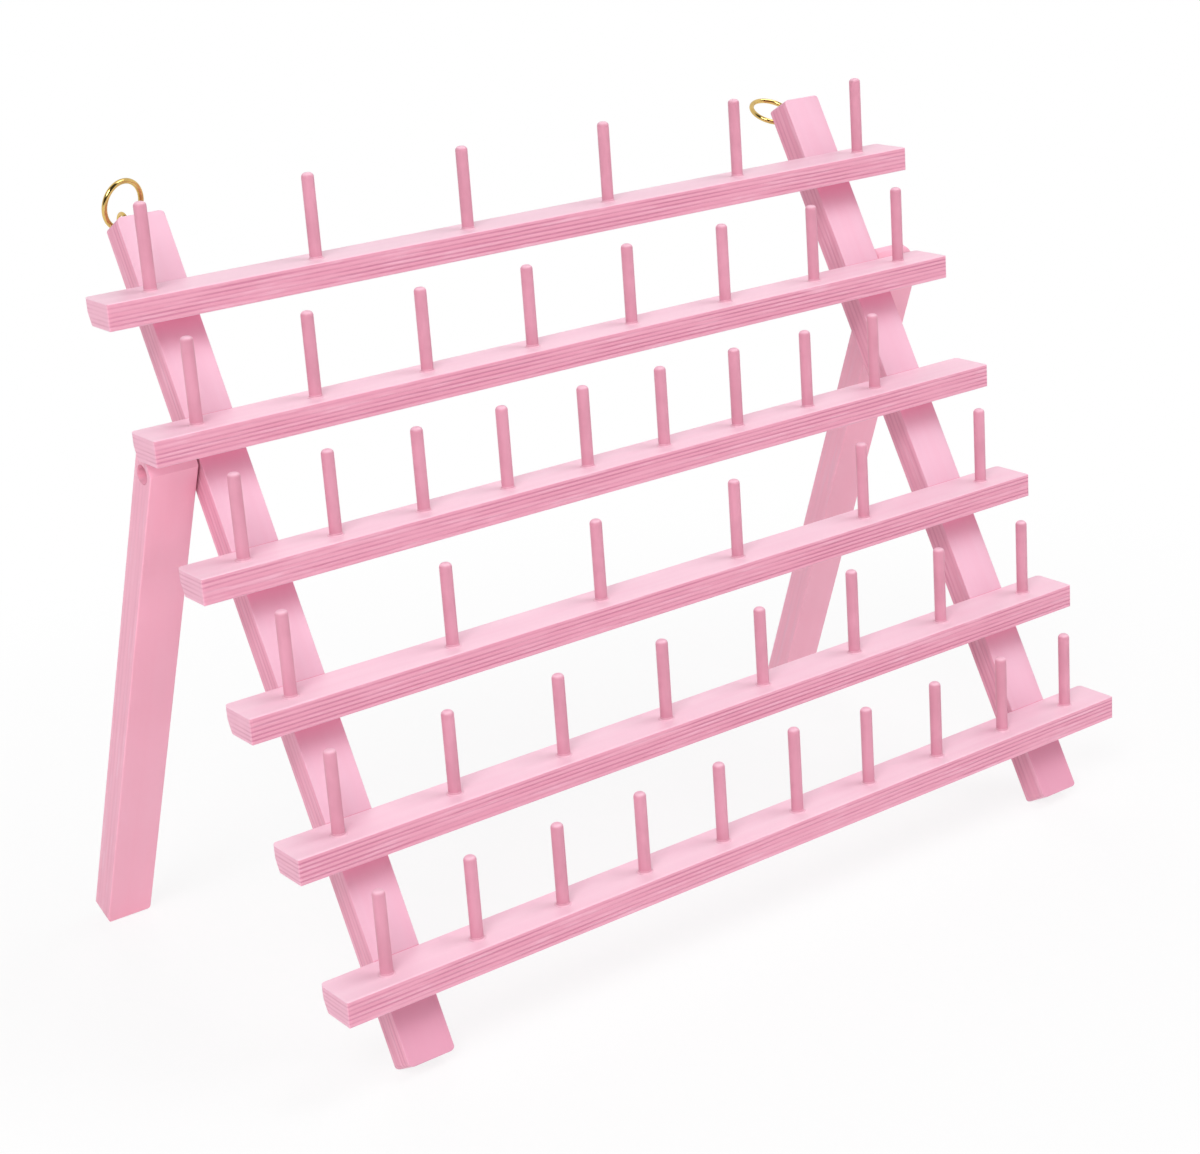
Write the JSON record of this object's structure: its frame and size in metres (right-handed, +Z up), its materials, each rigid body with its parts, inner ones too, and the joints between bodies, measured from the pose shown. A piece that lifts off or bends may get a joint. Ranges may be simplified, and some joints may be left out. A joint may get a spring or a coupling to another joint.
{
  "type": "thread rack",
  "caption": "Standing thread rack of pink painted plywood: stepped rails of pegs on leaning uprights, folding back legs and brass rings to hang it by.",
  "frame": {"origin": "On the floor, in the middle of the rack's length and depth", "axes": "+X along the rails, to the right seen from the front; +Y to the back; +Z up"},
  "size_m": [0.4, 0.227, 0.321],
  "materials": {
    "pink_paint": "satin pink paint over plywood",
    "brass": "polished",
    "steel": "zinc plated"
  },
  "bodies": {
    "rack": {"left_upright": "pink_paint", "right_upright": "pink_paint", "rail_1": "pink_paint", "rail_2": "pink_paint", "rail_3": "pink_paint", "rail_4": "pink_paint", "rail_5": "pink_paint", "rail_6": "pink_paint", "pegs_1": "pink_paint", "pegs_2": "pink_paint", "pegs_3": "pink_paint", "pegs_4": "pink_paint", "pegs_5": "pink_paint", "pegs_6": "pink_paint", "left_pivot_screw": "steel", "right_pivot_screw": "steel", "left_screw_eye": "brass", "right_screw_eye": "brass"},
    "left_leg": {"left_leg": "pink_paint"},
    "right_leg": {"right_leg": "pink_paint"},
    "left_ring": {"left_hanger_ring": "brass"},
    "right_ring": {"right_hanger_ring": "brass"}
  },
  "joints": [
    {"name": "left_leg_fold", "type": "hinge", "parent": "rack", "child": "left_leg", "pos_m": [-0.1874, 0.00206, 0.21795], "axis": [1, 0, 0], "range_deg": [-52.6, 0]},
    {"name": "right_leg_fold", "type": "hinge", "parent": "rack", "child": "right_leg", "pos_m": [0.1874, 0.00651, 0.22691], "axis": [1, 0, 0], "range_deg": [-49.6, 0]},
    {"name": "left_ring_swing", "type": "hinge", "parent": "rack", "child": "left_ring", "pos_m": [-0.1666, 0.05558, 0.30157], "axis": [1, 0, 0], "range_deg": [-221, 20]},
    {"name": "right_ring_swing", "type": "hinge", "parent": "rack", "child": "right_ring", "pos_m": [0.1666, 0.05304, 0.29647], "axis": [1, 0, 0], "range_deg": [-146.5, 70.5]}
  ]
}
